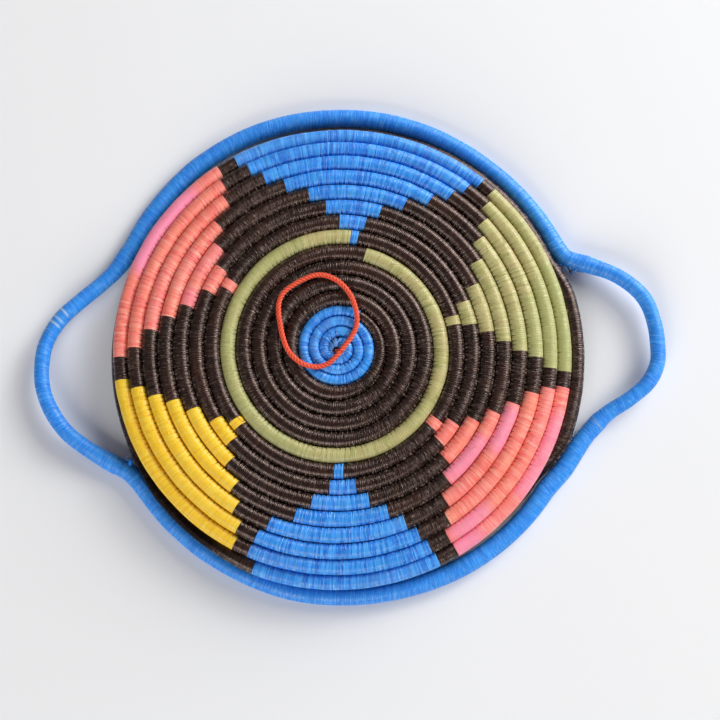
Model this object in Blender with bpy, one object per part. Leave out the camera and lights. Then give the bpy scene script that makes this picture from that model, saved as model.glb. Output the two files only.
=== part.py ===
# A coiled raffia tray basket with two rope handles, built as it is sewn: one long wrapped coil, turn by
# turn from the centre, and a thicker rim rope that bows out on two sides to make the handles.
# It lies on its rim with the underside of its base up. +Z is up, +Y is the side of the upper blue petal,
# and the origin is on the resting plane under the middle of the part. Lengths are in metres.
import math

import bmesh
import bpy
from mathutils import Vector

# The coil: its thickness in the middle of the base and from there on, and the gaps that touching pieces keep
centre_row_diameter = 0.0071
row_diameter = 0.01084
row_gap = 0.00065
block_gap = 0.0003
bend_clearance = 0.0012
centre_disc_radius = 0.0286

# The rim rope, the two handles that it makes, and the core inside both
rim_rope_diameter = 0.0138
handle_rope_diameter = 0.0114
rope_core_diameter = 0.0060
wrap_clearance = 0.0003
rope_gap = 0.0004
rim_overhang = 0.0102
rim_bulge = 0.0046
rim_drop = 0.0228
rest_flat_depth = 0.0005
right_handle_reach = 0.0540
left_handle_reach = 0.0466
handle_rise = 0.0060
rim_taper_length = 0.0150
seam_straight = 0.0030
lashing_thickness = 0.0009
lashing_width = 0.0080
lashing_end_shares = (-0.5, 0.5)
lashing_bore_end_shares = (-1, 1)

# The hanging loop on the base, its leg through the middle of the coil and the knot under the base
cord_diameter = 0.0040
cord_clearance = 0.0003
cord_end_gap = 0.0005
tie_lift = 0.0010
leg_bend_radius = 0.0030
knot_ring_radius = 0.0054
knot_strand_radius = 0.0025
stitch_diameter = 0.0022

# Where each colour starts along the coil, in turns: whole turns count rows from the olive band outwards,
# and the fraction is the clock angle from +Y, seen from above
full_turn = 360
centre_start_turn = -7.07
inner_start_turn = -4 + 30 / full_turn
band_start_turn = 15 / full_turn
star_start_turn = 1 + 5.6 / full_turn
edge_start_turn = 8 + 201 / full_turn
edge_end_turn = 9 + 186 / full_turn
points_per_turn = 24

# How the coil's thickness changes: it tapers at its start and end, swells where the centre ends, and is
# squeezed where the edge coil starts. Each is a length of coil in turns and a share of the thickness.
start_taper_turns = 0.2
start_taper_share = 0.6
end_taper_turns = 0.1
end_taper_share = 0.5
swell_turns = 0.5
squeeze_starts_turns = (0, 0.04)
squeeze_ends_turns = (0.16, 0.26)
edge_squeeze_share = 0.18

# How the base turns down at its edge: flat up to one row, then steeper and steeper. The edge coil slips down
# under the row inside it, except on the side where no rope lies on it and it flares out.
last_coloured_row = 8
flat_rows = 3.5
sloping_rows = 5
edge_slope_degrees = 24
dip_turns = (-0.04, 0.14)
flare_degrees = 28
flare_start_angles = (64, 78)
flare_end_angles = (110, 124)

# Each petal's first and last clock angle on rows 1 to 8, in degrees
petal_spans_degrees = {
    "blue_petal_top": ((5.6, 9.4), (-0.1, 11.7), (-5.6, 16.5), (-11.3, 24.2),
                       (-18.4, 31.2), (-23.8, 35.7), (-26.7, 38.0), (-28.7, 39.9)),
    "olive_petal": ((74.2, 78.7), (69.4, 79.9), (64.7, 83.8), (57.5, 87.8),
                    (51.7, 91.0), (48.2, 92.6), (45.0, 95.3), (43.5, 95.6)),
    "coral_petal_right": ((126.3, 131.0), (123.3, 133.3), (118.3, 136.6), (112.7, 140.8),
                          (107.8, 145.3), (103.1, 147.7), (100.7, 150.1), (99.6, 149.9)),
    "blue_petal_bottom": ((177.6, 181.9), (172.7, 183.5), (168.7, 189.6), (163.3, 194.2),
                          (159.2, 201.2), (156.8, 203.2), (155.4, 203.5), (154.9, 201.0)),
    "yellow_petal": ((230.9, 234.8), (228.2, 239.3), (223.1, 246.7), (216.3, 251.9),
                     (212.2, 255.1), (208.7, 258.7), (207.6, 261.7)),
    "coral_petal_left": ((297.4, 302.1), (293.2, 304.2), (285.2, 310.2), (280.1, 315.6),
                         (275.3, 322.7), (270.0, 324.9), (267.7, 326.4)),
}
petal_names = list(petal_spans_degrees)
ray_names = ("brown_ray_top_right", "brown_ray_right", "brown_ray_bottom_right",
             "brown_ray_bottom_left", "brown_ray_left", "brown_ray_top_left")

# The rim rope's way: clock angles about the rim's centre, and how far it bows out there, as a share of
# that handle's reach
right_handle_angles = (60, 66.5, 70.5, 74.4, 79.5, 84.5, 88.6, 92.2, 95.8, 99.4, 102.8, 106.4, 111, 118, 126)
right_handle_shares = (0, 0.06, 0.34, 0.63, 0.89, 0.98, 1, 0.99, 0.88, 0.66, 0.42, 0.27, 0.16, 0.09, 0)
left_handle_angles = (234, 240, 244.5, 249.2, 253.4, 258.1, 262.8, 267.1, 271.5, 276.4, 280.7, 285.3, 290, 296, 303)
left_handle_shares = (0, 0.06, 0.27, 0.53, 0.75, 0.91, 1, 1, 0.94, 0.76, 0.52, 0.28, 0.11, 0.02, 0)
seam_angles = {"top_right": 67, "bottom_right": 109, "bottom_left": 242, "top_left": 296}
rim_centre_shares = (0.31, 0.04)

# Where the rim stands out a little further than a true circle, as a share of the rim bulge
rim_bulge_first_angle = -100
rim_bulge_angles = (
    -75, -65, -58, -50, -40, -30, -20, -10, 0, 10, 20, 30, 40,
    46, 112, 118, 130, 150, 165, 180, 190, 200, 215,
)
rim_bulge_shares = (
    0, 0.12, 0.30, 0.48, 0.77, 0.90, 0.97, 0.87, 0.74, 0.63, 0.44, 0.16, 0.02,
    0, 0, 0.04, 0.40, 0.40, 0.20, 0.20, 0.28, 0.16, 0,
)
rope_steps = 720
handle_segments = 16
tangent_angle = 0.5

# The hanging loop's way over the base, seen from above, from its tie round and back to it, and the place
# of the hole in the middle of the coil. The loop turns about a level axis through its tie.
tie_place = (0.0013, -0.0034)
hole_place = (-0.0018, -0.0024)
loop_axis_degrees = 38
cord_route = ((0.0032, -0.0010), (0.0054, 0.0018), (0.0088, 0.0067), (0.0122, 0.0134), (0.0133, 0.0203),
              (0.0120, 0.0290), (0.0089, 0.0372), (0.0037, 0.0447), (-0.0030, 0.0500), (-0.0104, 0.0529),
              (-0.0180, 0.0530), (-0.0252, 0.0503), (-0.0330, 0.0461), (-0.0404, 0.0402), (-0.0438, 0.0330),
              (-0.0441, 0.0252), (-0.0430, 0.0170), (-0.0408, 0.0067), (-0.0374, -0.0022), (-0.0318, -0.0090),
              (-0.0244, -0.0136), (-0.0160, -0.0148), (-0.0081, -0.0127), (-0.0036, -0.0090),
              (-0.0006, -0.0058))
cord_steps = 64
smoothing_steps = 8
tie_lift_diameters = (1, 4)
leg_start_share = 0.25
knot_steps = 30
knot_first_degrees = 30
knot_turn_share = 0.87
knot_windings = 3
knot_rounds = 2

# How finely the pieces are welded and smoothed, and how far along a tube from itself its gap is measured,
# in diameters
weld_distance = 0.000003
sharp_degrees = 50
gap_shares = (0, 1 / 4, 1 / 2, 3 / 4)
gap_reach_diameters = 3.5

colours = {
    "blue": (0.045, 0.175, 0.68, 1),
    "brown": (0.035, 0.020, 0.016, 1),
    "olive": (0.48, 0.48, 0.17, 1),
    "coral": (0.90, 0.20, 0.14, 1),
    "yellow": (0.95, 0.55, 0.03, 1),
    "straw": (0.55, 0.42, 0.24, 1),
    "red_cord": (0.80, 0.09, 0.03, 1),
}

coil_height = rim_drop + rim_rope_diameter / 2 - rest_flat_depth
row_pitch = row_diameter + row_gap


def smooth_step(low, high, value):
    share = min(1, max(0, (value - low) / (high - low)))
    return share * share * (3 - 2 * share)


def smooth_window(starts, ends, value):
    # Rises from 0 to 1 over the first span and falls back over the second
    return smooth_step(*starts, value) * (1 - smooth_step(*ends, value))


def smooth_share(angles, shares, angle):
    # A smooth curve through the table's points, flat outside them
    if angle <= angles[0] or angle >= angles[-1]:
        return 0
    last = len(angles) - 1
    k = max(i for i in range(last) if angles[i] <= angle)
    width = angles[k + 1] - angles[k]

    def steepness(i):
        if i in (0, last):
            return 0
        return (shares[i + 1] - shares[i - 1]) / (angles[i + 1] - angles[i - 1])

    u = (angle - angles[k]) / width
    start_bend = u * (1 - u) ** 2 * width * steepness(k)
    end_bend = u * u * (u - 1) * width * steepness(k + 1)
    rise = u * u * (3 - 2 * u)
    return shares[k] * (1 - rise) + shares[k + 1] * rise + start_bend + end_bend


def direction(degrees):
    # A level unit vector at a clock angle from +Y
    return Vector((math.sin(math.radians(degrees)), math.cos(math.radians(degrees)), 0))


def row_radius(turn):
    # The coil thickens where the centre ends, its two ends taper, and its last row is squeezed where it slips
    # down between its neighbours
    swell = smooth_step(inner_start_turn, inner_start_turn + swell_turns, turn)
    diameter = centre_row_diameter + (row_diameter - centre_row_diameter) * swell
    started = smooth_step(centre_start_turn, centre_start_turn + start_taper_turns, turn)
    start_taper = start_taper_share + (1 - start_taper_share) * started
    ended = smooth_step(edge_end_turn - end_taper_turns, edge_end_turn, turn)
    end_taper = 1 - (1 - end_taper_share) * ended
    squeeze = smooth_window(squeeze_starts_turns, squeeze_ends_turns, turn - edge_start_turn)
    return diameter / 2 * start_taper * end_taper * (1 - edge_squeeze_share * squeeze)


def coil_radius(turn):
    # Distance from the axis to the middle of the coil where the base is flat: each row touches the last
    if turn < inner_start_turn:
        return centre_disc_radius - (centre_row_diameter + row_gap) * (inner_start_turn - turn)
    return coil_radius(turn - 1) + row_step(turn)


def rim_radius():
    return coloured_place(last_coloured_row)[0] + row_diameter / 2 + rim_overhang


def rim_stand_out(angle):
    # The rope is no true circle: it stands out further in some places
    turned = (angle - rim_bulge_first_angle) % full_turn + rim_bulge_first_angle
    return rim_bulge * smooth_share(rim_bulge_angles, rim_bulge_shares, turned)


def rim_place(angle):
    # Where the middle of the rim circle is at one clock angle, as distance from the axis and height
    centre = rim_centre()
    along = centre.dot(direction(angle))
    across = (centre - along * direction(angle)).length
    return along + math.sqrt(rim_radius() ** 2 - across ** 2), coil_height - rim_drop


def rim_centre():
    return Vector((rim_centre_shares[0] * row_pitch, rim_centre_shares[1] * row_pitch, 0))


def coloured_place(turn):
    # A coloured row: one pitch from the row inside it, down by the base's slope there
    if turn <= flat_rows:
        return coil_radius(turn), coil_height
    radius, height = coloured_place(turn - 1)
    slope = math.radians(edge_slope_degrees) * ((turn - flat_rows) / sloping_rows) ** 2
    return radius + row_pitch * math.cos(slope), height - row_pitch * math.sin(slope)


def row_step(turn):
    # From the middle of the row inside to the middle of this one
    return row_radius(turn - 1) + row_gap + row_radius(turn)


def nested_slope(turn):
    # Down from the row inside to the place that touches that row and the rim rope, from below
    radius, height = coil_place(turn - 1)
    rim_distance, rim_height = rim_place(turn % 1 * full_turn)
    across = rim_distance - radius
    down = height - rim_height
    apart = math.hypot(across, down)
    to_row = row_step(turn)
    to_rope = row_radius(turn) + rope_gap + rim_rope_diameter / 2
    cosine = (to_row ** 2 + apart ** 2 - to_rope ** 2) / (2 * to_row * apart)
    return math.atan2(down, across) + math.acos(min(1, max(-1, cosine)))


def coil_place(turn):
    # Distance from the axis and height of the middle of the coil
    dip = smooth_step(*dip_turns, turn - edge_start_turn)
    if dip == 0:
        return coloured_place(turn)
    radius, height = coil_place(turn - 1)
    flat_step_radius, flat_step_height = coloured_place(turn)
    coloured_slope = math.atan2(height - flat_step_height, flat_step_radius - radius)
    flare = smooth_window(flare_start_angles, flare_end_angles, turn % 1 * full_turn)
    edge_slope = nested_slope(turn) * (1 - flare) + math.radians(flare_degrees) * flare
    slope = coloured_slope * (1 - dip) + edge_slope * dip
    return radius + row_step(turn) * math.cos(slope), height - row_step(turn) * math.sin(slope)


def coil_point(turn):
    # The coil is straight between its points, so that neighbouring rows stay parallel
    before = math.floor(turn * points_per_turn + 0.000001)
    share = max(0, turn * points_per_turn - before)
    ends = []
    for step in (before, before + 1):
        radius, height = coil_place(step / points_per_turn)
        ends.append(direction(step / points_per_turn * full_turn) * radius + Vector((0, 0, height)))
    return ends[0].lerp(ends[1], share)


def clear_of_bends(turn):
    # A colour changes on a straight piece of the coil, a little way from the bends at its points
    margin = bend_clearance / (2 * math.pi * coil_radius(turn)) * points_per_turn
    step = turn * points_per_turn
    nearest = round(step)
    if abs(step - nearest) < margin:
        step = nearest + margin if step >= nearest else nearest - margin
    return step / points_per_turn


def coil_run(start_turn, end_turn):
    # Points and radii of the coil between two turns, with a named gap left at both ends
    trim = block_gap / 2 / (2 * math.pi * coil_radius(end_turn))
    first = clear_of_bends(start_turn) + trim
    last = clear_of_bends(end_turn) - trim
    turns = [first]
    for step in range(math.floor(first * points_per_turn) + 1, math.ceil(last * points_per_turn)):
        turns.append(step / points_per_turn)
    turns.append(last)
    return [(coil_point(turn), row_radius(turn)) for turn in turns]


def rope_bow(angle):
    right = right_handle_reach * smooth_share(right_handle_angles, right_handle_shares, angle)
    left = left_handle_reach * smooth_share(left_handle_angles, left_handle_shares, angle)
    return right + left


def rope_place(angle):
    # The middle of the rim rope at a clock angle about the rim's centre
    bow = rope_bow(angle)
    rise = handle_rise * smooth_step(0, left_handle_reach, bow)
    distance = rim_radius() + rim_stand_out(angle) + bow
    return rim_centre() + direction(angle) * distance + Vector((0, 0, coil_height - rim_drop + rise))


def rope_extent(axis, side, radius):
    # How far the rope reaches along one axis, on one side
    reaches = [side * rope_place(angle)[axis] for angle in range(full_turn)]
    return max(reaches) + radius


def spread_evenly(points, segments):
    # The same line with its points the same distance apart
    lengths = [0]
    for a, b in zip(points, points[1:]):
        lengths.append(lengths[-1] + (b - a).length)
    spread = []
    k = 0
    for i in range(segments + 1):
        wanted = lengths[-1] * i / segments
        while k < len(points) - 2 and lengths[k + 1] < wanted:
            k += 1
        share = (wanted - lengths[k]) / (lengths[k + 1] - lengths[k])
        spread.append(points[k].lerp(points[k + 1], share))
    return spread


def trim_line(points, start_cut, end_cut):
    # The line with a length taken off each end
    first = points[0] + (points[1] - points[0]).normalized() * start_cut
    last = points[-1] + (points[-2] - points[-1]).normalized() * end_cut
    return [first] + points[1:-1] + [last]


def rope_direction(angle):
    return (rope_place(angle + tangent_angle) - rope_place(angle - tangent_angle)).normalized()


def rope_line(start_angle, end_angle, on_rim):
    # The middle of the rope between two seams, straight for a short way at both, so that the ends are parallel.
    # On the rim its bends are where the coil's are, so that the two lie alongside each other.
    if on_rim:
        step = full_turn / points_per_turn
        first = math.floor(start_angle / step) + 1
        last = math.ceil(end_angle / step)
        line = [rope_place(start_angle)]
        line += [rope_place(k * step % full_turn) for k in range(first, last)]
        line.append(rope_place(end_angle % full_turn))
    else:
        spread = [start_angle + (end_angle - start_angle) * i / rope_steps for i in range(rope_steps + 1)]
        line = spread_evenly([rope_place(angle) for angle in spread], handle_segments)
    after_start = line[0] + rope_direction(start_angle) * seam_straight
    before_end = line[-1] - rope_direction(end_angle % full_turn) * seam_straight
    return [line[0], after_start] + line[1:-1] + [before_end, line[-1]]


def smooth_line(points, steps):
    # A smooth curve through chosen points
    dense = []
    last = len(points) - 1
    for k in range(last):
        before = points[max(k - 1, 0)]
        after = points[min(k + 2, last)]
        for i in range(smoothing_steps):
            u = i / smoothing_steps
            a = points[k]
            b = points[k + 1]
            bend_a = (b - before) / 2
            bend_b = (after - a) / 2
            rise = u * u * (3 - 2 * u)
            dense.append(a * (1 - rise) + b * rise + bend_a * (u * (1 - u) ** 2) + bend_b * (u * u * (u - 1)))
    dense.append(points[last])
    return spread_evenly(dense, steps)


def make_material(name, colour, roughness):
    material = bpy.data.materials.new(name)
    material.use_nodes = True
    shader = material.node_tree.nodes["Principled BSDF"]
    shader.inputs["Base Color"].default_value = colour
    shader.inputs["Roughness"].default_value = roughness
    shader.inputs["Metallic"].default_value = 0
    material.diffuse_color = colour
    return material


def make_tube(name, runs, collection, sides=6, closed=False):
    # A tube along each run of (point, radius), turned into a mesh with its caps welded on
    curve = bpy.data.curves.new(name, "CURVE")
    curve.dimensions = "3D"
    curve.twist_mode = "Z_UP"
    curve.bevel_depth = 1
    curve.bevel_resolution = (sides - 4) // 2
    curve.use_fill_caps = not closed
    for run in runs:
        spline = curve.splines.new("POLY")
        spline.points.add(len(run) - 1)
        spline.use_cyclic_u = closed
        for point, (place, radius) in zip(spline.points, run):
            point.co = (*place, 1)
            point.radius = radius
    guide = bpy.data.objects.new(name + "_guide", curve)
    collection.objects.link(guide)
    evaluated = guide.evaluated_get(bpy.context.evaluated_depsgraph_get())
    mesh = bpy.data.meshes.new_from_object(evaluated)
    mesh.name = name
    shape = bmesh.new()
    shape.from_mesh(mesh)
    bmesh.ops.remove_doubles(shape, verts=shape.verts, dist=weld_distance)
    bmesh.ops.recalc_face_normals(shape, faces=shape.faces)
    shape.to_mesh(mesh)
    shape.free()
    piece = bpy.data.objects.new(name, mesh)
    piece.matrix_world = guide.matrix_world
    collection.objects.link(piece)
    bpy.data.objects.remove(guide)
    bpy.data.curves.remove(curve)
    return piece


def finish(piece, material):
    piece.data.materials.clear()
    piece.data.materials.append(material)
    piece.data.shade_smooth()
    piece.data.set_sharp_from_angle(angle=math.radians(sharp_degrees))
    piece.parent = basket
    return piece


def join_with(piece, tool, operation):
    modifier = piece.modifiers.new(tool.name, "BOOLEAN")
    modifier.operation = operation
    modifier.solver = "EXACT"
    modifier.object = tool
    tool.parent = basket
    tool.hide_render = True
    tool.display_type = "WIRE"


def make_plain_coil(name, start_turn, end_turn, material):
    run = coil_run(start_turn, end_turn)
    if end_turn - start_turn > 1:
        print_least_gap(name, run)
    return finish(make_tube(name, [run], parts), material)


def make_sewn_rows(name, spans, material):
    # Blocks of neighbouring rows, held together by one stitch through the middles of all of them
    runs = [coil_run(first, last) for first, last in spans]
    piece = finish(make_tube(name, runs, parts), material)
    narrowest = min(spans, key=lambda span: span[1] - span[0])
    angle_turn = (narrowest[0] + narrowest[1]) / 2 % 1
    stitch = []
    for first, last in spans:
        turn = math.floor(first) + angle_turn
        if turn < first:
            turn += 1
        stitch.append((coil_point(turn), stitch_diameter / 2))
    join_with(piece, make_tube(name + "_stitch", [stitch], cutters, sides=4), "UNION")
    return piece


def make_wrap(name, line, radii, material):
    # A wrapped length of rope: a sleeve round the core, cut flat where it rests
    trimmed = trim_line(line, wrap_clearance / 2, wrap_clearance / 2)
    piece = finish(make_tube(name, [list(zip(trimmed, radii))], parts, sides=8), material)
    overrun = trim_line(line, -rope_core_diameter, -rope_core_diameter)
    bore_radius = rope_core_diameter / 2 + wrap_clearance
    bore = make_tube(name + "_bore", [[(place, bore_radius) for place in overrun]], cutters)
    join_with(piece, bore, "DIFFERENCE")
    return piece


def cut_flat(piece):
    size = 2 * (rim_radius() + right_handle_reach + rim_rope_diameter)
    bpy.ops.mesh.primitive_cube_add(size=size, location=(0, 0, -size / 2))
    floor = bpy.context.active_object
    floor.name = piece.name + "_floor"
    for collection in list(floor.users_collection):
        collection.objects.unlink(floor)
    cutters.objects.link(floor)
    join_with(piece, floor, "DIFFERENCE")


def rim_radii(line):
    # The rim wrap thins to the handle's thickness towards both its ends
    radii = []
    for place in line:
        from_end = min((place - line[0]).length, (place - line[-1]).length)
        thickening = smooth_step(0, rim_taper_length, from_end)
        diameter = handle_rope_diameter + (rim_rope_diameter - handle_rope_diameter) * thickening
        radii.append(diameter / 2)
    return radii


def make_lashing(name, start, end):
    # A binding round the handle's root, on the middle of one straight piece of it, cut flat where it rests
    middle = (start + end) / 2
    along = (end - start).normalized()
    inner = handle_rope_diameter / 2 + wrap_clearance
    outer = inner + lashing_thickness
    ends = [middle + along * lashing_width * share for share in lashing_end_shares]
    piece = finish(make_tube(name, [[(place, outer) for place in ends]], parts, sides=8), blue)
    bore_ends = [middle + along * lashing_width * share for share in lashing_bore_end_shares]
    bore = make_tube(name + "_bore", [[(place, inner) for place in bore_ends]], cutters, sides=8)
    join_with(piece, bore, "DIFFERENCE")
    cut_flat(piece)


def make_rim_and_handles():
    sections = (
        ("rim_wrap_top", "top_left", "top_right", True),
        ("handle_wrap_right", "top_right", "bottom_right", False),
        ("rim_wrap_bottom", "bottom_right", "bottom_left", True),
        ("handle_wrap_left", "bottom_left", "top_left", False),
    )
    core_line = []
    for name, start, end, on_rim in sections:
        start_angle = seam_angles[start]
        end_angle = seam_angles[end]
        if end_angle < start_angle:
            end_angle += full_turn
        line = rope_line(start_angle, end_angle, on_rim)
        core_line += line[:-1]
        radii = rim_radii(line) if on_rim else [handle_rope_diameter / 2] * len(line)
        piece = make_wrap(name, line, radii, blue)
        if on_rim:
            cut_flat(piece)
        else:
            make_lashing("root_lashing_" + start, line[1], line[2])
            make_lashing("root_lashing_" + end, line[-3], line[-2])
    core = [(place, rope_core_diameter / 2) for place in core_line]
    finish(make_tube("rim_core", [core], parts, closed=True), straw)


def base_top(distance):
    # Height of the crests that the cord lies on, at a distance from the axis
    rise = (row_diameter - centre_row_diameter) / 2
    swell = smooth_step(centre_disc_radius - centre_row_diameter, centre_disc_radius, distance)
    return coil_height + centre_row_diameter / 2 + rise * swell


def make_hanging_loop():
    # The loop lies on the base. Both its ends come to the tie, end to end along the axis that it turns about.
    lying_height = cord_diameter / 2 + cord_clearance
    tie = Vector((*tie_place, base_top(0) + lying_height + tie_lift))
    end_shift = direction(loop_axis_degrees) * cord_end_gap / 2
    points = [tie + end_shift]
    for x, y in cord_route:
        place = Vector((x, y, 0))
        from_tie = (place - Vector((*tie_place, 0))).length
        lift = tie_lift * (1 - smooth_step(*tie_lift_diameters, from_tie / cord_diameter))
        points.append(place + Vector((0, 0, base_top(place.length) + lying_height + lift)))
    points.append(tie - end_shift)
    line = smooth_line(points, cord_steps)
    pivot = bpy.data.objects.new("hang_loop_axis", None)
    pivot.location = tie
    pivot.parent = basket
    parts.objects.link(pivot)
    run = [(place - tie, cord_diameter / 2) for place in line]
    cord = finish(make_tube("hang_cord", [run], parts, sides=8), red_cord)
    cord.parent = pivot
    print_length("hang_cord", line)
    print("hang_loop_lift is at", [round(value, 5) for value in tie + basket.location])
    return tie


def knot_place(angle):
    # A knot of one strand, whose turns wind three times about a ring while they go round it twice
    spread = knot_ring_radius + knot_strand_radius * math.cos(knot_windings * angle)
    height = knot_strand_radius * math.sin(knot_windings * angle)
    round_angle = knot_rounds * angle
    return Vector((spread * math.cos(round_angle), spread * math.sin(round_angle), height))


def make_knot(tie):
    # The leg goes down from the tie through the hole in the coil, bends over and runs into the knot
    first_angle = math.radians(knot_first_degrees)
    turn_by = math.radians(tangent_angle)
    start = knot_place(first_angle)
    onward = (knot_place(first_angle + turn_by) - knot_place(first_angle - turn_by)).normalized()
    top_of_knot = coil_height - centre_row_diameter / 2 - cord_clearance - cord_diameter / 2
    hole = Vector((*hole_place, 0))
    bend_end = hole + onward * leg_bend_radius + Vector((0, 0, top_of_knot))
    leg_top = tie - Vector((0, 0, cord_diameter / 2 + cord_clearance))
    leg_start = leg_top - Vector((0, 0, cord_diameter * leg_start_share))
    line = [leg_top, leg_start, hole + Vector((0, 0, coil_height))]
    for quarter in (0, 1 / 3, 2 / 3):
        angle = quarter * math.pi / 2
        along = onward * leg_bend_radius * (1 - math.cos(angle))
        height = top_of_knot + leg_bend_radius * (1 - math.sin(angle))
        line.append(hole + along + Vector((0, 0, height)))
    for k in range(knot_steps):
        angle = first_angle + 2 * math.pi * knot_turn_share * k / (knot_steps - 1)
        line.append(bend_end + knot_place(angle) - start)
    run = [(place, cord_diameter / 2) for place in line]
    print_length("cord_knot", line)
    print_least_gap("cord_knot", run)
    return finish(make_tube("cord_knot", [run], parts, sides=8), red_cord)


def print_length(name, line):
    length = sum((b - a).length for a, b in zip(line, line[1:]))
    print(name, "length, mm:", round(length * 1000, 1))


def print_least_gap(name, run):
    # How near one unbroken tube comes to itself, between points that are not neighbours along it
    fine = []
    travelled = 0
    for (start, start_radius), (end, end_radius) in zip(run, run[1:]):
        for share in gap_shares:
            length = travelled + (end - start).length * share
            fine.append((start.lerp(end, share), start_radius + (end_radius - start_radius) * share, length))
        travelled += (end - start).length
    gaps = []
    for i, (place, radius, length) in enumerate(fine):
        for other, other_radius, other_length in fine[i + 1:]:
            if other_length - length > gap_reach_diameters * (radius + other_radius):
                gaps.append((other - place).length - radius - other_radius)
    print(name, "least gap to itself, mm:", round(min(gaps) * 1000, 2))


for old in list(bpy.data.objects):
    bpy.data.objects.remove(old)

parts = bpy.data.collections.new("kiondo_basket")
cutters = bpy.data.collections.new("cutters")
bpy.context.scene.collection.children.link(parts)
bpy.context.scene.collection.children.link(cutters)
basket = bpy.data.objects.new("basket_axis", None)
parts.objects.link(basket)
handle_radius = handle_rope_diameter / 2
rim_rope_radius = rim_rope_diameter / 2
basket.location.x = (rope_extent(0, -1, handle_radius) - rope_extent(0, 1, handle_radius)) / 2
basket.location.y = (rope_extent(1, -1, rim_rope_radius) - rope_extent(1, 1, rim_rope_radius)) / 2

blue = make_material("blue_raffia", colours["blue"], 0.45)
brown = make_material("brown_raffia", colours["brown"], 0.4)
olive = make_material("olive_raffia", colours["olive"], 0.5)
coral = make_material("coral_raffia", colours["coral"], 0.5)
yellow = make_material("yellow_raffia", colours["yellow"], 0.5)
straw = make_material("grass_core", colours["straw"], 0.8)
red_cord = make_material("red_cord", colours["red_cord"], 0.55)

make_plain_coil("centre_coil", centre_start_turn, inner_start_turn, blue)
make_plain_coil("inner_coil", inner_start_turn, band_start_turn, brown)
make_plain_coil("band_coil", band_start_turn, star_start_turn, olive)
make_plain_coil("edge_coil", edge_start_turn, edge_end_turn, brown)

petal_colours = (blue, olive, coral, blue, yellow, coral)
all_spans = {name: [] for name in petal_names + list(ray_names)}
for row in range(1, last_coloured_row + 1):
    for name in petal_names:
        if row > len(petal_spans_degrees[name]):
            continue
        first, last = petal_spans_degrees[name][row - 1]
        all_spans[name].append((row + first / full_turn, row + last / full_turn))
for index, name in enumerate(ray_names):
    after = petal_names[(index + 1) % len(petal_names)]
    for row, (first, last) in enumerate(all_spans[petal_names[index]]):
        next_row = row + 1 if index == len(ray_names) - 1 else row
        if next_row < len(all_spans[after]):
            all_spans[name].append((last, all_spans[after][next_row][0]))
for name, material in zip(petal_names, petal_colours):
    make_sewn_rows(name, all_spans[name], material)
for name in ray_names:
    make_sewn_rows(name, all_spans[name], brown)

make_rim_and_handles()
make_knot(make_hanging_loop())
rest_point = (rope_place(0) + rope_place(full_turn / points_per_turn)) / 2 + basket.location
print("rest mount is at", round(rest_point.x, 5), round(rest_point.y, 5), 0)
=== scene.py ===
import math
import bpy
import numpy as np
from mathutils import Matrix, Vector


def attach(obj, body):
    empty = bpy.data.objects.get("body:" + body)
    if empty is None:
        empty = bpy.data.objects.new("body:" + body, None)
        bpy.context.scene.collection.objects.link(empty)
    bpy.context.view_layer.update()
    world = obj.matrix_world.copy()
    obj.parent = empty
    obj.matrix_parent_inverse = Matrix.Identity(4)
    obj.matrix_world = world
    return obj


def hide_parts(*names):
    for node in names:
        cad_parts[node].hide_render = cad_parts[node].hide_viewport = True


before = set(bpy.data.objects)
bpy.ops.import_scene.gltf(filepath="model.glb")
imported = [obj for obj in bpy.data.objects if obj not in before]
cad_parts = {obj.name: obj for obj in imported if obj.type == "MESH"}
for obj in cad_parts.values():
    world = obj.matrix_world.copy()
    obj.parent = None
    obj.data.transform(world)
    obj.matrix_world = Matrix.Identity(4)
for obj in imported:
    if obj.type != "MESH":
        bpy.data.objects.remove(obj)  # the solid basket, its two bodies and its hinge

scene = bpy.context.scene
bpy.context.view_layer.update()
mm = 0.001
print("solids loaded:", len(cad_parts))


def toWorld(points):
    # the coil's axis is a little off the middle of the part's outline
    return np.asarray(points, float) + np.array((*basket["axis"], 0))


# Shared sizes in metres. Turns count rows from the olive band outwards.
basket = {
    "axis": (-0.00745, -0.00172),
    "centreRow": 7.1 * mm, "row": 10.84 * mm, "rowGap": 0.65 * mm, "discRadius": 28.6 * mm,
    "startTurn": -7.07, "innerStart": -4 + 30 / 360, "bandStart": 15 / 360, "starStart": 1 + 5.6 / 360,
    "edgeStart": 8 + 201 / 360, "edgeEnd": 9 + 186 / 360, "coilDegrees": (-2590, 3430),
    "flatRows": 3.5, "slopingRows": 5, "edgeSlope": 24, "flare": 28, "edgeSqueeze": 0.18,
    "height": 29.2 * mm, "rimDrop": 22.8 * mm, "rimRope": 13.8 * mm, "handleRope": 11.4 * mm,
    "ropeGap": 0.4 * mm, "rimOverhang": 10.2 * mm, "rimShift": (0.31, 0.04),
}


def addObject(name, data):
    added = bpy.data.objects.new(name, data)
    scene.collection.objects.link(added)
    return added


# Camera, at the photograph's angle
view = {"distance": 1.2, "tip": 10.1, "lean": 0.9, "lens": 82.19, "shift": (0.0294, -0.0183)}
tip, lean = math.radians(view["tip"]), math.radians(view["lean"])
cameraRight = Vector((math.cos(lean), math.sin(tip) * math.sin(lean), -math.cos(tip) * math.sin(lean)))
cameraUp = Vector((0, math.cos(tip), math.sin(tip)))
cameraBack = Vector((math.sin(lean), -math.sin(tip) * math.cos(lean), math.cos(tip) * math.cos(lean)))
baseTop = Vector((*basket["axis"], basket["height"] + basket["row"] / 2))
camera = addObject("camera", bpy.data.cameras.new("camera"))
camera.data.lens = view["lens"]
camera.data.shift_x, camera.data.shift_y = view["shift"]
camera.matrix_world = Matrix((cameraRight, cameraUp, cameraBack)).transposed().to_4x4()
camera.location = baseTop + cameraBack * view["distance"]
scene.camera = camera


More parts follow.
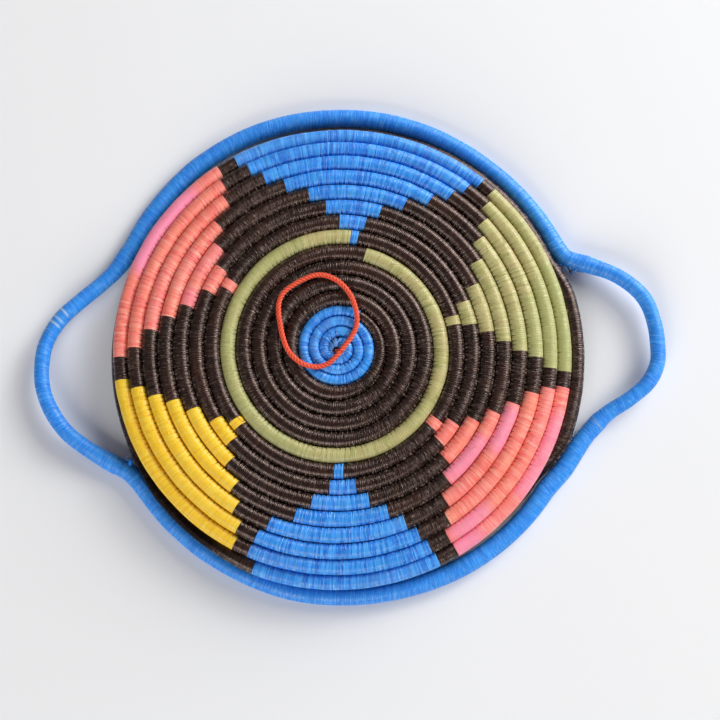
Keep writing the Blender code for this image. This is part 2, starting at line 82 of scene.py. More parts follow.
def smoothStep(low, high, value):
    share = np.clip((np.asarray(value, float) - low) / (high - low), 0, 1)
    return share * share * (3 - 2 * share)


def fadeInAndOut(first, full, last, gone, value):
    return smoothStep(first, full, value) * (1 - smoothStep(last, gone, value))


def unit(vectors):
    return vectors / np.linalg.norm(vectors, axis=1)[:, None]


def lengthsAlong(steps):
    return np.concatenate(((0,), np.cumsum(steps)))


def pointsAlong(wanted, lengths, line):
    return np.stack([np.interp(wanted, lengths, line[:, i]) for i in range(3)], 1)


def ringAngles(sides, rings):
    return 2 * math.pi * np.arange(sides) / sides + np.zeros((rings, 1))


def smoothTable(places, values, wanted):
    # a smooth curve through a few chosen values, flat outside them
    places, values = np.array(places, float), np.array(values, float)
    steep = np.zeros(len(values))
    steep[1:-1] = (values[2:] - values[:-2]) / (places[2:] - places[:-2])
    k = np.clip(np.searchsorted(places, wanted, side="right") - 1, 0, len(places) - 2)
    width = places[k + 1] - places[k]
    u = np.clip((wanted - places[k]) / width, 0, 1)
    rise = u * u * (3 - 2 * u)
    bends = u * (1 - u) ** 2 * width * steep[k] + u * u * (u - 1) * width * steep[k + 1]
    return values[k] * (1 - rise) + values[k + 1] * rise + bends


def clockWay(degrees):
    # level unit vectors at clock angles from the upper blue petal
    angle = np.radians(np.asarray(degrees, float))
    return np.stack((np.sin(angle), np.cos(angle), np.zeros_like(angle)), -1)


def slowNoise(lengths, wave, size, rng):
    # a soft random sway along a length
    grid = np.arange(lengths.min() - wave, lengths.max() + 3 * wave, wave)
    values = rng.normal(0, 1, len(grid))
    k = np.clip(((lengths - grid[0]) / wave).astype(int), 0, len(grid) - 2)
    u = (lengths - grid[k]) / wave
    return size * (values[k] + (values[k + 1] - values[k]) * (u * u * (3 - 2 * u)))


def smoothLine(points, count):
    # a smooth curve through chosen points, at even distances
    points = np.array(points, float)
    before = np.vstack((points[:1], points[:-1]))[:-1]
    after = np.vstack((points[1:], points[-1:]))[1:]
    dense = []
    for u in np.arange(12) / 12:
        rise = u * u * (3 - 2 * u)
        bends = (points[1:] - before) / 2 * (u * (1 - u) ** 2) + (after - points[:-1]) / 2 * (u * u * (u - 1))
        dense.append(points[:-1] * (1 - rise) + points[1:] * rise + bends)
    line = np.vstack((np.stack(dense, 1).reshape(-1, 3), points[-1:]))
    lengths = lengthsAlong(np.linalg.norm(np.diff(line, axis=0), axis=1))
    wanted = np.linspace(0, lengths[-1], count)
    return pointsAlong(wanted, lengths, line), wanted


# The coil's way, worked out for each degree of its turns
def rowThickness(turn):
    swell = smoothStep(basket["innerStart"], basket["innerStart"] + 0.5, turn)
    across = basket["centreRow"] + (basket["row"] - basket["centreRow"]) * swell
    across = across * (0.6 + 0.4 * smoothStep(basket["startTurn"], basket["startTurn"] + 0.2, turn))
    across = across * (1 - 0.5 * smoothStep(basket["edgeEnd"] - 0.1, basket["edgeEnd"], turn))
    past = turn - basket["edgeStart"]
    return across / 2 * (1 - basket["edgeSqueeze"] * fadeInAndOut(0, 0.04, 0.16, 0.26, past))


rimStandsOut = {  # where the rim stands out further than a true circle, as a share of the bulge
    "bulge": 4.6 * mm, "firstAngle": -100,
    "angles": (-75, -65, -58, -50, -40, -30, -20, -10, 0, 10, 20, 30, 40,
               46, 112, 118, 130, 150, 165, 180, 190, 200, 215),
    "shares": (0, 0.12, 0.30, 0.48, 0.77, 0.90, 0.97, 0.87, 0.74, 0.63, 0.44, 0.16, 0.02,
               0, 0, 0.04, 0.40, 0.40, 0.20, 0.20, 0.28, 0.16, 0),
}


def rimBulge(clock):
    first = rimStandsOut["firstAngle"]
    turned = (np.asarray(clock, float) - first) % 360 + first
    return rimStandsOut["bulge"] * smoothTable(rimStandsOut["angles"], rimStandsOut["shares"], turned)


rowPitch = basket["row"] + basket["rowGap"]
rimHeight = basket["height"] - basket["rimDrop"]
coilTurns = np.arange(*basket["coilDegrees"]) / 360
coilThick = rowThickness(coilTurns)
coilOut = basket["discRadius"] - (basket["centreRow"] + basket["rowGap"]) * (basket["innerStart"] - coilTurns)
coilUp = np.full(len(coilTurns), basket["height"])


def eachTurn(firstTurn):
    # indices of one turn after another, with those of the row inside each
    for begin in range(int(np.argmax(coilTurns >= firstTurn)), len(coilTurns), 360):
        here = np.arange(begin, min(begin + 360, len(coilTurns)))
        yield here, here - 360


for here, inside in eachTurn(basket["innerStart"]):
    coilOut[here] = coilOut[inside] + coilThick[inside] + basket["rowGap"] + coilThick[here]
for here, inside in eachTurn(basket["flatRows"]):
    slope = math.radians(basket["edgeSlope"]) * (np.clip(coilTurns[here] - basket["flatRows"], 0, None)
                                                 / basket["slopingRows"]) ** 2
    coilOut[here] = coilOut[inside] + rowPitch * np.cos(slope)
    coilUp[here] = coilUp[inside] - rowPitch * np.sin(slope)
rimRadius = np.interp(8, coilTurns, coilOut) + basket["row"] / 2 + basket["rimOverhang"]
rimCentre = np.array((*basket["rimShift"], 0)) * rowPitch

for here, inside in eachTurn(basket["edgeStart"] - 0.04):  # the last row slips down between its neighbours
    turns = coilTurns[here]
    clock = turns % 1 * 360
    step = coilThick[inside] + basket["rowGap"] + coilThick[here]
    colouredSlope = np.arctan2(coilUp[inside] - coilUp[here], coilOut[here] - coilOut[inside])
    along = clockWay(clock) @ rimCentre
    rimOut = along + np.sqrt(rimRadius ** 2 - (rimCentre @ rimCentre - along ** 2))
    across, down = rimOut - coilOut[inside], coilUp[inside] - rimHeight
    apart = np.hypot(across, down)
    toRope = coilThick[here] + basket["ropeGap"] + basket["rimRope"] / 2
    cosine = np.clip((step ** 2 + apart ** 2 - toRope ** 2) / (2 * step * apart), -1, 1)
    nested = np.arctan2(down, across) + np.arccos(cosine)
    flare = fadeInAndOut(64, 78, 110, 124, clock)
    dip = smoothStep(-0.04, 0.14, turns - basket["edgeStart"])
    slope = colouredSlope * (1 - dip) + (nested * (1 - flare) + math.radians(basket["flare"]) * flare) * dip
    coilOut[here] = coilOut[inside] + step * np.cos(slope)
    coilUp[here] = coilUp[inside] - step * np.sin(slope)
coilSteps = np.hypot(np.hypot(np.diff(coilOut), np.diff(coilUp)), coilOut[1:] * math.radians(1))
coilLengths = lengthsAlong(coilSteps)
print("coil worked out, metres of it:", round(float(coilLengths[-1]), 2))

# The rim rope's way
handles = {
    "rise": 6 * mm, "fullRise": 46.6 * mm,
    # reach, clock angles, share of the reach at each
    "right": (54 * mm, (60, 66.5, 70.5, 74.4, 79.5, 84.5, 88.6, 92.2, 95.8, 99.4, 102.8, 106.4, 111,
                        118, 126),
              (0, 0.06, 0.34, 0.63, 0.89, 0.98, 1, 0.99, 0.88, 0.66, 0.42, 0.27, 0.16, 0.09, 0)),
    "left": (46.6 * mm, (234, 240, 244.5, 249.2, 253.4, 258.1, 262.8, 267.1, 271.5, 276.4, 280.7, 285.3, 290,
                         296, 303),
             (0, 0.06, 0.27, 0.53, 0.75, 0.91, 1, 1, 0.94, 0.76, 0.52, 0.28, 0.11, 0.02, 0)),
}


def ropeWay(clock):
    clock = np.asarray(clock, float)
    bow = 0
    for reach, angles, shares in (handles["right"], handles["left"]):
        bow = bow + reach * smoothTable(angles, shares, clock % 360)
    place = rimCentre + clockWay(clock) * (rimRadius + rimBulge(clock) + bow)[:, None]
    place[:, 2] += rimHeight + handles["rise"] * smoothStep(0, handles["fullRise"], bow)
    return place


# Wrapping: rings of points along a line, three for each strand of raffia
marks = ("strand", "groove", "tint", "edge", "tick")  # what each point tells the finishes
strandShape = {"widths": (0.55, 1.45), "crestFrom": 0.28, "crestTo": 0.74}  # shares of a strand's width


def newWeave():
    weave = {"points": [], "faces": [], "lie": [], "tubes": [], "count": 0}
    weave.update((name, []) for name in marks)
    return weave


def strandStations(start, end, pitch, rng):
    # where each strand starts, crests and ends, with its own shade and height
    count = max(1, int(round((end - start) / pitch)))
    widths = rng.uniform(*strandShape["widths"], count)
    edges = start + (end - start) * lengthsAlong(widths) / widths.sum()
    starts, wide = edges[:-1], np.diff(edges)
    crests = starts + strandShape["crestFrom"] * wide, starts + strandShape["crestTo"] * wide
    stations = np.append(np.stack((starts, *crests), 1).ravel(), end)
    shades, heights = rng.uniform(0, 1, count), rng.uniform(0, 1, count)
    crest = np.append(np.tile((0, 1, 1), count), 0).astype(float)
    own = np.append(np.repeat(np.arange(count), 3), count - 1)
    return stations, crest, shades[own], heights[own], own


def addTube(weave, centres, outs, ups, radii, around, stations, looks, shift=None):
    # rings (n, m) swept along a line and closed at both ends
    n, m = radii.shape
    along = np.cross(outs, ups)
    ring = (centres[:, None] + outs[:, None] * (radii * np.cos(around))[..., None]
            + ups[:, None] * (radii * np.sin(around))[..., None])
    if shift is not None:
        ring = ring + along[:, None] * shift[..., None]
    ends = np.stack((ring[0].mean(0), ring[-1].mean(0)))
    weave["points"] += [ring.reshape(-1, 3), ends]
    lie = (np.repeat(stations[:, None], m, 1), radii * np.cos(around), radii * np.sin(around))
    lie = np.stack(lie, -1) / mm
    weave["lie"] += [lie.reshape(-1, 3), lie[[0, -1]].mean(1)]
    for name in marks:
        values = np.asarray(looks.get(name, 0.0), float)
        spread = np.broadcast_to(values[:, None] if values.ndim == 1 else values, (n, m))
        weave[name] += [spread.ravel(), spread[[0, -1]].mean(1)]
    first = weave["count"]
    i, j = np.meshgrid(np.arange(n - 1), np.arange(m), indexing="ij")
    nextJ = (j + 1) % m
    quads = np.stack((i * m + j, i * m + nextJ, (i + 1) * m + nextJ, (i + 1) * m + j), -1)
    quads = first + quads.reshape(-1, 4)
    side = np.arange(m)
    last = first + (n - 1) * m
    start = np.stack((np.full(m, first + n * m), first + (side + 1) % m, first + side), 1)
    end = np.stack((np.full(m, first + n * m + 1), last + side, last + (side + 1) % m), 1)
    weave["faces"].append((quads, start, end))
    weave["tubes"].append((n, m, stations, float(radii.mean())))
    weave["count"] += n * m + 2


def addFibre(weave, places, radius, looks, sides=5):
    # one thin fibre or strip through a few chosen places
    line, stations = smoothLine(places, 4 * len(places))
    along = unit(np.gradient(line, axis=0))
    outs = unit(np.cross((0.05, 0.02, 1.0), along))
    around = ringAngles(sides, len(line))
    ends = np.minimum(stations, stations[-1] - stations)
    radii = radius * (0.35 + 0.65 * smoothStep(0, 0.2 * stations[-1], ends))
    addTube(weave, line, outs, np.cross(along, outs), radii[:, None] + 0 * around, around, stations, looks)


def layOut(weave):
    # a flat map: the tubes cut into strips of one length, with their ends in a last strip
    spans = [(tube[2][-1] - tube[2][0], 2 * math.pi * tube[3]) for tube in weave["tubes"]]
    stripLength = max(math.sqrt(sum(length * around for length, around in spans)), 12 * mm)
    counts = [max(1, math.ceil(length / stripLength - 0.001)) for length, around in spans]
    rows, tall = sum(counts) + 1, 0.98 / (sum(counts) + 1)
    corners, row = [], 0
    capWide = 1 / (2 * len(spans))
    for index, ((n, m, stations, radius), count) in enumerate(zip(weave["tubes"], counts)):
        share = (stations - stations[0]) / (stations[-1] - stations[0]) * count
        strip = np.minimum(((share[:-1] + share[1:]) / 2).astype(int), count - 1)
        low, high = share[:-1] - strip, share[1:] - strip
        used = min(1, (stations[-1] - stations[0]) / count / stripLength) * 0.97 + 0.005
        side = np.arange(m) / m
        v0 = (row + strip)[:, None] / rows + 0.01 / rows + side * tall
        v1 = v0 + tall / m
        u0, u1 = np.repeat((low * used)[:, None], m, 1), np.repeat((high * used)[:, None], m, 1)
        quads = np.stack((np.stack((u0, v0), -1), np.stack((u0, v1), -1),
                          np.stack((u1, v1), -1), np.stack((u1, v0), -1)), 2).reshape(-1, 2)
        corners.append(quads)
        for cap in (0, 1):
            middle = np.array(((2 * index + cap + 0.5) * capWide, (rows - 0.5) / rows))
            reach = 0.45 * min(capWide, 1 / rows)
            angle = 2 * math.pi * side
            rim = middle + reach * np.stack((np.cos(angle), np.sin(angle)), 1)
            rolled = np.roll(rim, -1, 0)
            hub = np.repeat(middle[None], m, 0)
            corners.append(np.stack((hub, rolled, rim) if cap == 0 else (hub, rim, rolled), 1).reshape(-1, 2))
        row += count
    return np.concatenate(corners)


def makePiece(name, weave, material, nodes, body="basket"):
    points = toWorld(np.concatenate(weave["points"]))
    points[:, 2] = np.maximum(points[:, 2], 0.05 * mm)
    faces = [face for group in weave["faces"] for part in group for face in part.tolist()]
    mesh = bpy.data.meshes.new(name)
    mesh.from_pydata(points.tolist(), [], faces)
    for key in marks:
        values = mesh.attributes.new(key, "FLOAT", "POINT")
        values.data.foreach_set("value", np.concatenate(weave[key]).astype(np.float32))
    lie = mesh.attributes.new("lie", "FLOAT_VECTOR", "POINT")
    lie.data.foreach_set("vector", np.concatenate(weave["lie"]).astype(np.float32).ravel())
    flat = mesh.uv_layers.new(name="OFBake")
    flat.uv.foreach_set("vector", layOut(weave).astype(np.float32).ravel())
    mesh.materials.append(material)
    mesh.shade_smooth()
    piece = addObject(name, mesh)
    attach(piece, body)
    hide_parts(*nodes)
    return piece


# Materials
def newFinish(name):
    material = bpy.data.materials.new(name)
    material.use_nodes = True
    tree = material.node_tree
    return material, tree, tree.nodes["Principled BSDF"]


def feed(tree, node, inputs):
    # links or sets what a node takes in
    for key, value in inputs.items():
        socket = node.inputs[int(key[2:])] if key.startswith("at") else node.inputs[key]
        if isinstance(value, bpy.types.NodeSocket):
            tree.links.new(value, socket)
        elif socket.type == "RGBA":
            socket.default_value = (*value, 1)
        else:
            socket.default_value = value


def addNode(tree, kind, settings=None, **inputs):
    node = tree.nodes.new(kind)
    for key, value in (settings or {}).items():
        setattr(node, key, value)
    feed(tree, node, inputs)
    return node


def readValue(tree, name, output="Fac"):
    return addNode(tree, "ShaderNodeAttribute", {"attribute_name": name}).outputs[output]


def calculate(tree, operation, *values):
    inputs = {"at%d" % i: value for i, value in enumerate(values)}
    return addNode(tree, "ShaderNodeMath", {"operation": operation}, **inputs).outputs[0]


def blendColours(tree, share, first, second):
    settings = {"data_type": "RGBA"}
    return addNode(tree, "ShaderNodeMix", settings, at0=share, at6=first, at7=second).outputs[2]


def spreadRange(tree, value, low, high, toLow, toHigh):
    smooth = {"interpolation_type": "SMOOTHSTEP"}
    return addNode(tree, "ShaderNodeMapRange", smooth, at0=value, at1=low, at2=high, at3=toLow,
                   at4=toHigh).outputs[0]


def addRelief(tree, shader, strength, distance, height):
    bump = addNode(tree, "ShaderNodeBump", None, Strength=strength, Distance=distance, Height=height)
    feed(tree, shader, {"Normal": bump.outputs[0]})


def stretchedNoise(tree, scale, detail=2.0, rough=0.6):
    # noise drawn out along the strands
    lie = readValue(tree, "lie", "Vector")
    placed = addNode(tree, "ShaderNodeMapping", at0=lie, at3=scale)
    return addNode(tree, "ShaderNodeTexNoise", None, Vector=placed.outputs[0], Scale=1.0, Detail=detail,
                   Roughness=rough).outputs["Fac"]


grain = {  # how far each noise of the raffia is drawn out: across the strands, along them and up
    "strips": (0.95, 0.13, 0.13),  # one strip of raffia or so, broken along its length
    "fibres": (3.2, 0.20, 0.20),  # finer lines that run round the row
    "patches": (0.13, 0.10, 0.10),  # slow changes of the dye
    "glints": (1.5, 0.16, 0.16),
    "stripShare": 0.65, "roughSpread": 0.12, "relief": 0.3 * mm,
}


def makeRaffia(title, look):
    material, tree, shader = newFinish(title)
    strand, groove, tint, edge, tick = (readValue(tree, name) for name in marks)
    strips = stretchedNoise(tree, grain["strips"], 1.5, 0.6)
    fibres = stretchedNoise(tree, grain["fibres"], 2.5, 0.65)
    patches = stretchedNoise(tree, grain["patches"])
    glints = stretchedNoise(tree, grain["glints"])
    stripShare = grain["stripShare"]
    mixed = calculate(tree, "ADD", calculate(tree, "MULTIPLY", strips, stripShare * (1 - look["ribs"])),
                      calculate(tree, "MULTIPLY", fibres, (1 - stripShare) * (1 - look["ribs"])))
    shade = calculate(tree, "ADD", mixed, calculate(tree, "MULTIPLY", strand, look["ribs"]))
    dyed = spreadRange(tree, shade, 0.36, 0.52, 1 - look["darks"], 1.0)
    colour = blendColours(tree, dyed, look["dark"], look["middle"])
    pale = spreadRange(tree, glints, 0.54, 0.64, 0.0, look["glints"])
    nearEdge = spreadRange(tree, edge, 0.0, 1.0, look["onCrest"], 1.0)
    for share, over in (
            (spreadRange(tree, shade, 0.50, 0.66, 0.0, look["streaks"]), "light"),
            (spreadRange(tree, patches, 0.42, 0.62, 0.0, look["patches"]), "patch"),
            (tint, "tint"),
            # painted highlight: pale glints blended into the colour, strongest on the row's sides
            (calculate(tree, "MULTIPLY", pale, nearEdge), "glint"),
            # painted shade: the valleys between strands are blended towards the groove-shade colour
            (spreadRange(tree, groove, 0.0, 0.7, look["grooves"], 0.0), "grooveShade"),
            # painted shade: the slits between stitches, and any stretch marked so, are blended towards the
            # near-black slit-shade colour
            (spreadRange(tree, tick, 0.15, 0.75, 0.0, 0.95), "slitShade")):
        colour = blendColours(tree, share, colour, look[over])
    spread = grain["roughSpread"]
    rough = spreadRange(tree, glints, 0.42, 0.60, look["rough"] + spread, look["rough"] - spread)
    # grooves and gaps shine less
    crestShine = spreadRange(tree, groove, 0.0, 0.8, 0.45 * look["shine"], look["shine"])
    shine = calculate(tree, "MULTIPLY", crestShine, spreadRange(tree, tick, 0.0, 0.7, 1.0, 0.08))
    feed(tree, shader, {"Base Color": colour, "Roughness": rough, "Specular IOR Level": shine,
                        "Specular Tint": look["sheen"]})
    relief = calculate(tree, "ADD", strips, calculate(tree, "MULTIPLY", fibres, 0.5))
    addRelief(tree, shader, look["relief"], grain["relief"], relief)
    return material


commonLook = {"darks": 0.7, "streaks": 0.75, "ribs": 0.25, "patches": 0.5, "glints": 0.5, "onCrest": 0.35,
              "grooves": 0.35, "rough": 0.36, "shine": 0.5, "relief": 0.7, "sheen": (1, 1, 1)}
raffia = {
    "blue": {"dark": (0.006, 0.115, 0.55), "middle": (0.016, 0.265, 0.90), "light": (0.09, 0.47, 1.0),
             "darks": 0.75, "streaks": 0.7, "ribs": 0.35, "patch": (0.03, 0.33, 0.80), "patches": 0.4,
             "tint": (0.30, 0.58, 0.95), "drift": 0.12, "glint": (0.42, 0.70, 0.98), "glints": 0.9,
             "onCrest": 0.3, "grooveShade": (0.008, 0.10, 0.50), "slitShade": (0.008, 0.09, 0.44), "shine": 0.6,
             "relief": 0.8},
    "rope": {"dark": (0.008, 0.165, 0.65), "middle": (0.016, 0.25, 0.86), "light": (0.06, 0.40, 1.0),
             "darks": 0.5, "patch": (0.03, 0.30, 0.82), "tint": (0.52, 0.66, 0.72),
             "glint": (0.36, 0.66, 1.0), "glints": 0.6, "onCrest": 0.5, "grooveShade": (0.007, 0.13, 0.60),
             "grooves": 0.3, "slitShade": (0.002, 0.008, 0.05), "rough": 0.42},
    "brown": {"dark": (0.0025, 0.0009, 0.0007), "middle": (0.0075, 0.0024, 0.0017),
              "light": (0.042, 0.020, 0.014), "darks": 1.0, "ribs": 0.38, "patch": (0.022, 0.006, 0.003),
              "tint": (0.040, 0.012, 0.006), "drift": 0.6, "glint": (0.55, 0.42, 0.35), "glints": 0.7,
              "onCrest": 0.12, "grooveShade": (0.0015, 0.0008, 0.0007), "grooves": 0.75,
              "slitShade": (0.0008, 0.0006, 0.0006), "rough": 0.22, "shine": 0.85, "relief": 1.0,
              "sheen": (1.0, 0.74, 0.66)},
    "olive": {"dark": (0.32, 0.30, 0.095), "middle": (0.50, 0.455, 0.17), "light": (0.68, 0.64, 0.32),
              "streaks": 0.5, "patch": (0.56, 0.44, 0.20), "patches": 0.6, "tint": (0.40, 0.42, 0.15),
              "drift": 0.4, "glint": (0.92, 0.88, 0.62), "grooveShade": (0.15, 0.12, 0.03), "grooves": 0.4,
              "slitShade": (0.05, 0.032, 0.010)},
    "coral": {"dark": (0.82, 0.12, 0.095), "middle": (1.0, 0.225, 0.18), "light": (1.0, 0.46, 0.34),
              "patch": (1.0, 0.30, 0.19), "tint": (1.0, 0.29, 0.46), "drift": 0.25,
              "glint": (1.0, 0.70, 0.50), "grooveShade": (0.66, 0.050, 0.055), "slitShade": (0.12, 0.010, 0.010),
              "shine": 0.55},
    "yellow": {"dark": (0.84, 0.45, 0.008), "middle": (1.0, 0.64, 0.024), "light": (1.0, 0.78, 0.12),
               "darks": 0.6, "streaks": 0.5, "ribs": 0.22, "patch": (1.0, 0.56, 0.014),
               "tint": (1.0, 0.72, 0.07), "drift": 0.3, "glint": (1.0, 0.90, 0.42), "glints": 0.4,
               "grooveShade": (0.72, 0.36, 0.006), "grooves": 0.3, "slitShade": (0.11, 0.040, 0.004)},
}
finishes = {name: makeRaffia(name + "Raffia", {**commonLook, **look}) for name, look in raffia.items()}
print("raffia finishes ready")

# Rows of the coil
rowLook = {"pitch": 1.15 * mm, "sides": 14, "proud": 0.2 * mm, "crest": 0.07 * mm, "groove": 0.11 * mm,
           "unevenCrest": (0.4, 1.2), "slant": 0.45 * mm, "square": 2.25, "endGap": 0.06 * mm,
           "stitch": 0.28 * mm, "stitchPlace": 0.35, "stitchWidth": 0.4,
           "slit": 0.40 * mm, "slitShare": 0.8, "slitPlace": 0.5, "slitReach": (0.25, 0.6), "slitThin": 0.45,
           "swayOut": (18 * mm, 0.07 * mm), "swayUp": (14 * mm, 0.12 * mm), "swell": (9 * mm, 0.06 * mm),
           "edge": (0.55, 0.92), "hiddenShade": 0.6}
hiddenTurns = ((8.56, 8.60, 8.66, 8.70), (9.30, 9.36, 9.60, 9.70))  # where the rope hides the last row, which is painted darker there as painted shade
fuzz = {"every": 16 * mm, "reach": 7 * mm, "over": (0.5, 2.6), "twist": 0.7, "bow": (0, 0.5, 0.9, 0.6),
        "height": (0.1, 0.9), "width": (0.06, 0.13)}
stretches = {  # where the dye turns: row, first and last clock angle, how far
    "coralPetalRight": ((4, 122, 141, 0.8), (5, 109, 124, 0.8), (7, 137, 149, 0.8), (8, 106, 130, 0.7),
                        (8, 142, 151, 0.9)),
    "coralPetalLeft": ((7, 291, 318, 1.0), (3, 285, 292, 0.4)),
    "olivePetal": ((5, 80, 92, 0.5), (6, 74, 94, 0.6), (7, 70, 97, 0.7), (8, 66, 97, 0.85)),
    "bandRow": ((1, -160, -20, 0.5),),
}


def tintAlong(name, colour, turns, stations, rng):
    # the dye drifts a little everywhere and turns along a few stretches
    tint = np.clip(slowNoise(stations, 40 * mm, 0.5, rng), 0, 1) * raffia[colour]["drift"]
    for row, first, last, amount in stretches.get(name, ()):
        turned = fadeInAndOut(first - 3, first + 3, last - 3, last + 3, (turns - row) * 360)
        tint = np.maximum(tint, amount * turned)
    return tint


def addFuzz(weave, firstTurn, lastTurn, count, rng):
    # loose ends of raffia that stand a little off a row
    for turn in rng.uniform(firstTurn, lastTurn, count):
        out, up, thick = (np.interp(turn, coilTurns, values) for values in (coilOut, coilUp, coilThick))
        share = np.linspace(0, 1, 4)
        length = rng.uniform(-1, 1) * fuzz["reach"]
        turns = turn + share * length / (2 * math.pi * out)
        over = rng.uniform(*fuzz["over"]) + share * rng.normal(0, fuzz["twist"])
        lift = thick + rowLook["proud"] + np.array(fuzz["bow"]) * rng.uniform(*fuzz["height"]) * mm
        places = clockWay(turns * 360) * (out + lift * np.cos(over))[:, None]
        places[:, 2] = up + lift * np.sin(over)
        addFibre(weave, places, rng.uniform(*fuzz["width"]) * mm, {"strand": rng.uniform(0.6, 1.0)}, 4)


def wrapRow(weave, firstTurn, lastTurn, seed, name, colour):
    rng = np.random.default_rng(seed)
    start, end = np.interp((firstTurn, lastTurn), coilTurns, coilLengths)
    start, end = start + rowLook["endGap"], end - rowLook["endGap"]
    stations, crest, shades, heights, own = strandStations(start, end, rowLook["pitch"], rng)
    turns = np.interp(stations, coilLengths, coilTurns)
    outs = clockWay(turns * 360)
    ups = np.tile((0.0, 0.0, 1.0), (len(turns), 1))
    outward = np.interp(turns, coilTurns, coilOut) + slowNoise(stations, *rowLook["swayOut"], rng)
    upward = np.interp(turns, coilTurns, coilUp) + slowNoise(stations, *rowLook["swayUp"], rng)
    centres = outs * outward[:, None] + ups * upward[:, None]
    around = ringAngles(rowLook["sides"], len(turns))
    square = rowLook["square"]
    squared = (np.abs(np.cos(around)) ** square + np.abs(np.sin(around)) ** square) ** (-1 / square)
    base = rowThickness(turns) + rowLook["proud"] + slowNoise(stations, *rowLook["swell"], rng)
    least, more = rowLook["unevenCrest"]
    rise = crest * (rowLook["crest"] * (least + more * heights)) - (1 - crest) * rowLook["groove"]
    inwards = np.abs(around - math.pi)
    sewn = (crest > 0) & (own % 3 != 1)
    fromStitch = (inwards - rowLook["stitchPlace"]) / rowLook["stitchWidth"]
    stitch = sewn[:, None] * np.exp(-fromStitch ** 2)  # a stitch bulges where it enters the row inside
    opened = (own % 3 == 1) & (rng.uniform(0, 1, own[-1] + 1)[own] < rowLook["slitShare"])
    inValley = np.where(crest > 0, np.append(0.0, crest[:-1]) == 0, 1.0)
    thin = inValley * (1 - rowLook["slitThin"] * crest)
    reach = rng.uniform(*rowLook["slitReach"], own[-1] + 1)[own]
    slit = (opened * thin)[:, None] * np.exp(-((inwards - rowLook["slitPlace"]) / reach[:, None]) ** 2)
    radii = base[:, None] * squared + rise[:, None] + rowLook["stitch"] * stitch - rowLook["slit"] * slit
    tint = tintAlong(name, colour, turns, stations, rng)
    # painted shade: where the rope hides the last row it is marked for the slit-shade colour too
    for hidden in hiddenTurns:
        slit = np.maximum(slit, rowLook["hiddenShade"] * fadeInAndOut(*hidden, turns)[:, None])
    edge = smoothStep(*rowLook["edge"], np.abs(np.cos(around)))
    addTube(weave, centres, outs, ups, radii, around, stations,
            {"strand": shades, "groove": crest, "tint": tint, "edge": edge, "tick": slit},
            rowLook["slant"] * np.sin(around + 0.5))
    addFuzz(weave, firstTurn, lastTurn, int((end - start) / fuzz["every"]), rng)


def makeRows(name, spans, colour, nodes, seed, extras=None):
    weave = newWeave()
    for index, (first, last) in enumerate(spans):
        wrapRow(weave, first, last, seed * 100 + index, name, colour)
    if extras:
        extras(weave)
    makePiece(name, weave, finishes[colour], nodes)


petals = {  # first and last clock angle of each row, from row 1 outwards
    "bluePetalTop": ((5.6, 9.4), (-0.1, 11.7), (-5.6, 16.5), (-11.3, 24.2),
                     (-18.4, 31.2), (-23.8, 35.7), (-26.7, 38.0), (-28.7, 39.9)),
    "olivePetal": ((74.2, 78.7), (69.4, 79.9), (64.7, 83.8), (57.5, 87.8),
                   (51.7, 91.0), (48.2, 92.6), (45.0, 95.3), (43.5, 95.6)),
    "coralPetalRight": ((126.3, 131.0), (123.3, 133.3), (118.3, 136.6), (112.7, 140.8),
                        (107.8, 145.3), (103.1, 147.7), (100.7, 150.1), (99.6, 149.9)),
    "bluePetalBottom": ((177.6, 181.9), (172.7, 183.5), (168.7, 189.6), (163.3, 194.2),
                        (159.2, 201.2), (156.8, 203.2), (155.4, 203.5), (154.9, 201.0)),
    "yellowPetal": ((230.9, 234.8), (228.2, 239.3), (223.1, 246.7), (216.3, 251.9),
                    (212.2, 255.1), (208.7, 258.7), (207.6, 261.7)),
    "coralPetalLeft": ((297.4, 302.1), (293.2, 304.2), (285.2, 310.2), (280.1, 315.6),
                       (275.3, 322.7), (270.0, 324.9), (267.7, 326.4)),
}
petalColours = ("blue", "olive", "coral", "blue", "yellow", "coral")
petalNodes = ("blue_petal_top", "olive_petal", "coral_petal_right", "blue_petal_bottom", "yellow_petal",
              "coral_petal_left")
rays = {"brownRayTopRight": "brown_ray_top_right", "brownRayRight": "brown_ray_right",
        "brownRayBottomRight": "brown_ray_bottom_right", "brownRayBottomLeft": "brown_ray_bottom_left",
        "brownRayLeft": "brown_ray_left", "brownRayTopLeft": "brown_ray_top_left"}

# The folded strips that start the coil, which fan out of the hole over the first turn
fold = {"count": 84, "hole": (-0.0018, -0.0024), "start": (2.5 * mm, 3.1 * mm),
        "reach": (4.2 * mm, 8.2 * mm), "width": (0.20 * mm, 0.40 * mm), "bend": 0.24, "lift": 0.6 * mm,
        "firstRing": 4.2 * mm, "sink": (0.3, 1.2)}
flecks = {"count": 120, "turns": 2.2, "over": (0.7, 2.4), "arc": (0.6, 1.6), "lift": (0.42, 0.66, 0.46),
          "aside": 0.4 * mm, "width": (0.16, 0.36), "clear": 2.6 * mm}


